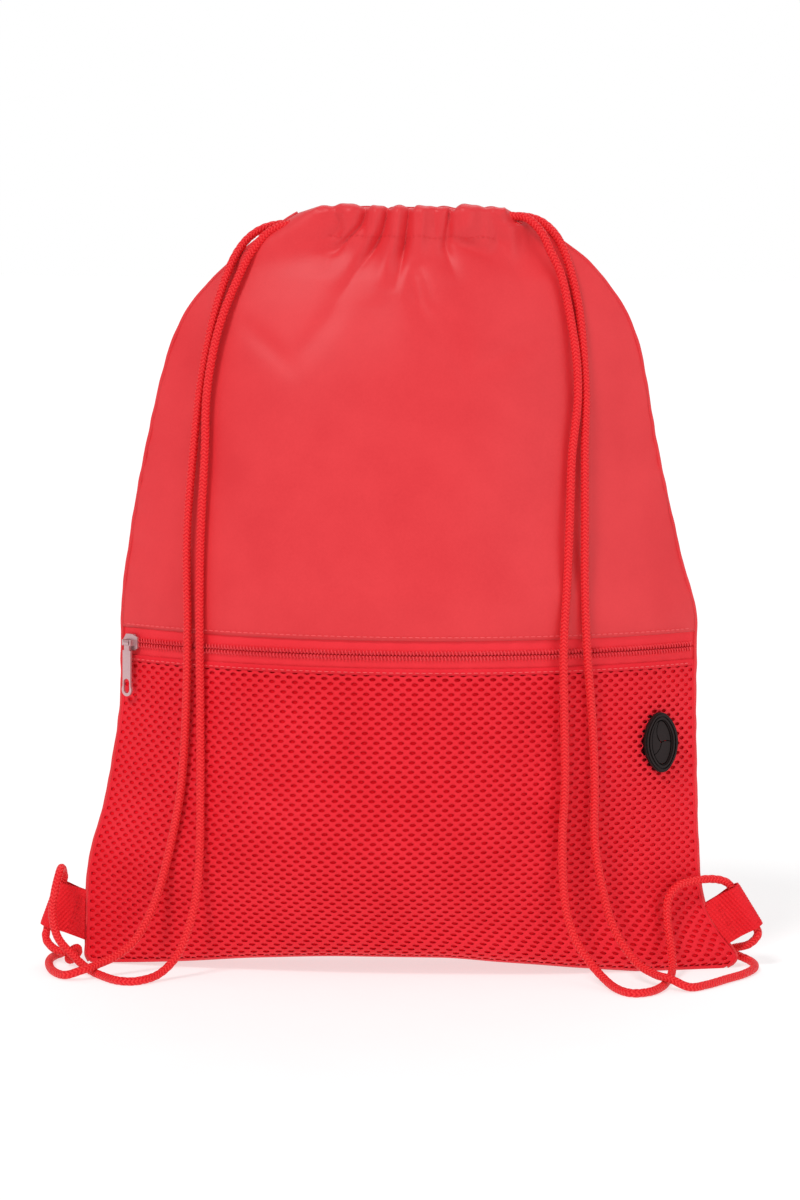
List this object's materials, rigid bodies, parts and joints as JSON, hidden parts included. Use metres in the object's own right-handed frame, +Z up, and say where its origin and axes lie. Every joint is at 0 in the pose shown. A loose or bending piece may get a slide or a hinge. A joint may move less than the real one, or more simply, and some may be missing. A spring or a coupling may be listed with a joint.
{
  "type": "drawstring backpack",
  "caption": "Stuffed drawstring backpack with a gathered neck, long doubled drawcords, corner webbing tabs, a zipped mesh front pocket and a rubber cable port.",
  "frame": {"origin": "on the floor under the middle of the bag: middle of the base between the two corner tabs", "axes": "+Z up from the base to the gathered neck; -Y out of the front with the mesh pocket; +X to the right seen from the front"},
  "size_m": [0.3799, 0.1303, 0.397],
  "materials": {
    "satin_fabric": "plain woven polyester with a soft satin sheen",
    "mesh_fabric": "knitted mesh with staggered oval holes",
    "lining_fabric": "plain woven polyester, matt inside",
    "zip_tape": "fine woven tape",
    "zip_coil": "dyed nylon coil",
    "slider_metal": "satin silver lacquer that takes the red around it",
    "thread": "polyester sewing thread",
    "port_rubber": "matt moulded rubber",
    "webbing": "ribbed webbing",
    "cord": "braided polyester cord"
  },
  "bodies": {
    "bag": {"front_upper_panel": "satin_fabric", "pocket_lining_panel": "lining_fabric", "mesh_pocket_panel": "mesh_fabric", "back_panel": "satin_fabric", "side_seam_left": "lining_fabric", "side_seam_right": "lining_fabric", "bottom_seam": "lining_fabric", "zip_tape_upper": "zip_tape", "zip_tape_lower": "zip_tape", "zip_coil_upper": "zip_coil", "zip_coil_lower": "zip_coil", "topstitch_upper": "thread", "topstitch_lower": "thread", "port_flange": "port_rubber", "port_back_ring": "port_rubber", "drawcord_left": "cord", "drawcord_right": "cord", "cord_knot_left": "cord", "cord_knot_right": "cord"},
    "mouth_front": {"casing_front": "satin_fabric"},
    "mouth_back": {"casing_back": "satin_fabric"},
    "zip_slider": {"zip_slider_body": "slider_metal", "zip_slider_crown": "slider_metal"},
    "zip_pull": {"zip_pull_tab": "slider_metal"},
    "port_flap_1": {"port_flap_1": "port_rubber"},
    "port_flap_2": {"port_flap_2": "port_rubber"},
    "port_flap_3": {"port_flap_3": "port_rubber"},
    "tab_left": {"webbing_tab_left": "webbing"},
    "tab_right": {"webbing_tab_right": "webbing"}
  },
  "joints": [
    {"name": "zip_slide", "type": "hinge", "parent": "bag", "child": "zip_slider", "pos_m": [0, 0.17158, 0.1705], "axis": [0, 0, 1], "range_deg": [0, 78]},
    {"name": "pull_swing", "type": "hinge", "parent": "zip_slider", "child": "zip_pull", "pos_m": [-0.14592, -0.00863, 0.1705], "axis": [-0.7771, 0.6293, 0], "range_deg": [0, 170]},
    {"name": "flap_1_bend", "type": "hinge", "parent": "bag", "child": "port_flap_1", "pos_m": [0.13553, -0.01353, 0.12262], "axis": [-0.0866, -0.0585, 0.9945], "range_deg": [-25, 35], "stiffness_Nm_per_rad": 0.0005},
    {"name": "flap_2_bend", "type": "hinge", "parent": "bag", "child": "port_flap_2", "pos_m": [0.12581, -0.0201, 0.12138], "axis": [0.0866, 0.0585, -0.9945], "range_deg": [-25, 35], "stiffness_Nm_per_rad": 0.0005},
    {"name": "flap_3_bend", "type": "hinge", "parent": "bag", "child": "port_flap_3", "pos_m": [0.13164, -0.01616, 0.11091], "axis": [0.8241, 0.5567, 0.1045], "range_deg": [-25, 35], "stiffness_Nm_per_rad": 0.0005},
    {"name": "tab_left_swing", "type": "hinge", "parent": "bag", "child": "tab_left", "pos_m": [-0.1684, 0, 0.031], "axis": [0, 0, 1], "range_deg": [-12, 12], "stiffness_Nm_per_rad": 0.02, "deforming": ["drawcord_left"]},
    {"name": "tab_right_swing", "type": "hinge", "parent": "bag", "child": "tab_right", "pos_m": [0.16065, 0, 0.031], "axis": [-0.3794, 0, 0.9253], "range_deg": [-12, 12], "stiffness_Nm_per_rad": 0.02, "deforming": ["drawcord_right"]},
    {"name": "mouth_front_open", "type": "hinge", "parent": "bag", "child": "mouth_front", "pos_m": [0, -0.0205, 0.3793], "axis": [1, 0, 0], "range_deg": [0, 12], "deforming": ["drawcord_left", "drawcord_right"]},
    {"name": "mouth_back_open", "type": "hinge", "parent": "bag", "child": "mouth_back", "pos_m": [0, 0.0205, 0.3793], "axis": [-1, 0, 0], "range_deg": [0, 12], "deforming": ["drawcord_left", "drawcord_right"]}
  ],
  "couplings": [
    {"joint": "mouth_back_open", "follows": "mouth_front_open", "ratio": 1}
  ]
}
